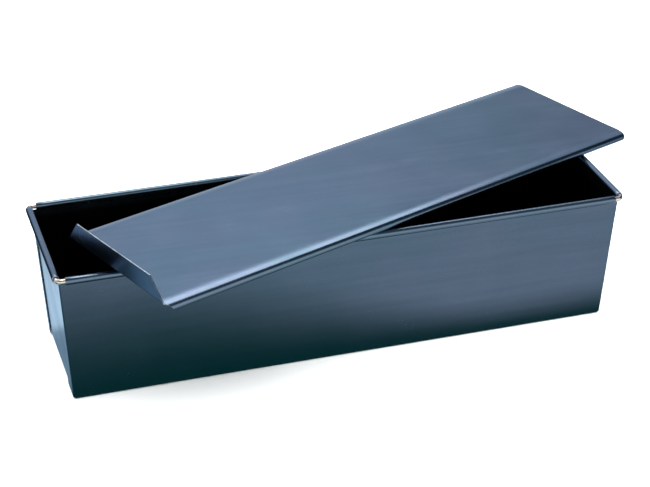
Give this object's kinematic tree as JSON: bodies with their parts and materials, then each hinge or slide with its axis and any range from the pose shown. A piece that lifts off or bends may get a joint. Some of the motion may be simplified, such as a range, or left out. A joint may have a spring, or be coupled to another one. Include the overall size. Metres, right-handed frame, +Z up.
{
  "type": "loaf pan",
  "caption": "Rectangular folded sheet-steel loaf pan with rolled, wired rims, and a flat lid with curled side edges and an upturned end flange, lying loose across the mouth.",
  "frame": {"origin": "centre of the pan's flat underside, where it stands", "axes": "+X along the pan, with the lid's upturned flange at the -X end; +Z up, out of the mouth; -Y the long wall that the flange end of the lid overhangs"},
  "size_m": [0.4487, 0.2581, 0.1231],
  "materials": {
    "pan_steel": "blued, satin",
    "lid_steel": "blued, satin",
    "wire_steel": "bright drawn wire"
  },
  "bodies": {
    "pan": {"trough": "pan_steel", "left_end_panel": "pan_steel", "right_end_panel": "pan_steel", "rim_wire": "wire_steel"},
    "lid": {"lid": "lid_steel"}
  },
  "joints": [
    {"name": "lid_lift", "type": "slide", "parent": "pan", "child": "lid", "axis": [0, 0, 1], "range_m": [0, 0.15]}
  ]
}
